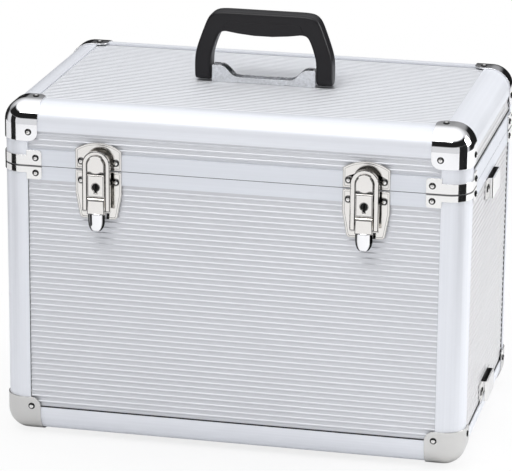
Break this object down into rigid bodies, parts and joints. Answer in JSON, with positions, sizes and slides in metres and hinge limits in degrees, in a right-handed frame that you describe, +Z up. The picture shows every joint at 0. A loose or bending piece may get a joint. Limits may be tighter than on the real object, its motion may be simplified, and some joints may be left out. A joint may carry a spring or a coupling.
{
  "type": "pump carrying case",
  "caption": "Rigid ribbed aluminium carrying case with a hinged lid, metal corner caps, two lockable draw latches, side strap loops and a folding top handle.",
  "frame": {"origin": "on the floor plane under the middle of the case, at the bottom of the feet", "axes": "+X to the right along the width, +Y to the back where the hinges are, +Z up"},
  "size_m": [0.4616, 0.3005, 0.404],
  "materials": {
    "ribbed_aluminium": "satin, raised ribs",
    "aluminium_extrusion": "satin anodised",
    "polished_caps": "polished",
    "satin_caps": "satin nickel",
    "bracket_metal": "bright nickel",
    "latch_chrome": "polished",
    "pin_steel": "plain",
    "rivet_metal": "bright",
    "handle_plastic": "satin moulded",
    "handle_bracket_metal": "bright zinc",
    "foot_rubber": "matte",
    "lining_cloth": "soft lining"
  },
  "bodies": {
    "case": {"base_front_panel": "ribbed_aluminium", "base_back_panel": "ribbed_aluminium", "base_left_panel": "ribbed_aluminium", "base_right_panel": "ribbed_aluminium", "base_bottom_panel": "ribbed_aluminium", "base_bottom_front_rail": "aluminium_extrusion", "base_bottom_back_rail": "aluminium_extrusion", "base_bottom_left_rail": "aluminium_extrusion", "base_bottom_right_rail": "aluminium_extrusion", "base_corner_posts": "aluminium_extrusion", "base_rim_rails": "aluminium_extrusion", "base_cap_front_left": "satin_caps", "base_cap_front_right": "satin_caps", "base_cap_back_left": "satin_caps", "base_cap_back_right": "satin_caps", "base_seam_brackets": "bracket_metal", "base_hinge_leaves": "bracket_metal", "base_rivets": "rivet_metal", "base_lining": "lining_cloth", "left_latch_plate": "latch_chrome", "right_latch_plate": "latch_chrome", "left_lock_case": "latch_chrome", "right_lock_case": "latch_chrome", "lever_pins": "pin_steel", "hinge_pins": "pin_steel", "strap_loops": "bracket_metal", "rubber_feet": "foot_rubber"},
    "lid": {"lid_front_panel": "ribbed_aluminium", "lid_back_panel": "ribbed_aluminium", "lid_left_panel": "ribbed_aluminium", "lid_right_panel": "ribbed_aluminium", "lid_top_panel": "ribbed_aluminium", "lid_top_front_rail": "aluminium_extrusion", "lid_top_back_rail": "aluminium_extrusion", "lid_top_left_rail": "aluminium_extrusion", "lid_top_right_rail": "aluminium_extrusion", "lid_corner_posts": "aluminium_extrusion", "lid_rim_rails": "aluminium_extrusion", "lid_cap_front_left": "polished_caps", "lid_cap_front_right": "polished_caps", "lid_cap_back_left": "polished_caps", "lid_cap_back_right": "polished_caps", "lid_seam_brackets": "bracket_metal", "lid_hinge_leaves": "bracket_metal", "lid_rivets": "rivet_metal", "lid_lining": "lining_cloth", "left_catch_plate": "latch_chrome", "right_catch_plate": "latch_chrome", "handle_bracket": "handle_bracket_metal"},
    "handle": {"handle_grip": "handle_plastic", "handle_pins": "pin_steel"},
    "left_lever_body": {"left_lever": "latch_chrome", "left_bail_pin": "pin_steel"},
    "left_bail_body": {"left_bail": "latch_chrome"},
    "left_lock_body": {"left_lock_cam": "pin_steel"},
    "right_lever_body": {"right_lever": "latch_chrome", "right_bail_pin": "pin_steel"},
    "right_bail_body": {"right_bail": "latch_chrome"},
    "right_lock_body": {"right_lock_cam": "pin_steel"}
  },
  "joints": [
    {"name": "lid_hinge", "type": "hinge", "parent": "case", "child": "lid", "pos_m": [0, 0.144, 0.274], "axis": [-1, 0, 0], "range_deg": [0, 95]},
    {"name": "handle_fold", "type": "hinge", "parent": "lid", "child": "handle", "pos_m": [0, 0, 0.3435], "axis": [1, 0, 0], "range_deg": [-90, 90]},
    {"name": "left_lever_flip", "type": "hinge", "parent": "case", "child": "left_lever_body", "pos_m": [-0.129, -0.149, 0.2465], "axis": [-1, 0, 0], "range_deg": [0, 90]},
    {"name": "left_bail_swing", "type": "hinge", "parent": "left_lever_body", "child": "left_bail_body", "pos_m": [-0.129, -0.149, 0.2365], "axis": [-1, 0, 0], "range_deg": [-75, 0]},
    {"name": "left_lock_turn", "type": "hinge", "parent": "case", "child": "left_lock_body", "pos_m": [-0.129, -0.145, 0.2604], "axis": [0, -1, 0], "range_deg": [0, 90]},
    {"name": "right_lever_flip", "type": "hinge", "parent": "case", "child": "right_lever_body", "pos_m": [0.129, -0.149, 0.2465], "axis": [-1, 0, 0], "range_deg": [0, 90]},
    {"name": "right_bail_swing", "type": "hinge", "parent": "right_lever_body", "child": "right_bail_body", "pos_m": [0.129, -0.149, 0.2365], "axis": [-1, 0, 0], "range_deg": [-75, 0]},
    {"name": "right_lock_turn", "type": "hinge", "parent": "case", "child": "right_lock_body", "pos_m": [0.129, -0.145, 0.2604], "axis": [0, -1, 0], "range_deg": [0, 90]}
  ],
  "couplings": [
    {"joint": "left_bail_swing", "follows": "left_lever_flip", "ratio": -0.83},
    {"joint": "right_bail_swing", "follows": "right_lever_flip", "ratio": -0.83}
  ]
}
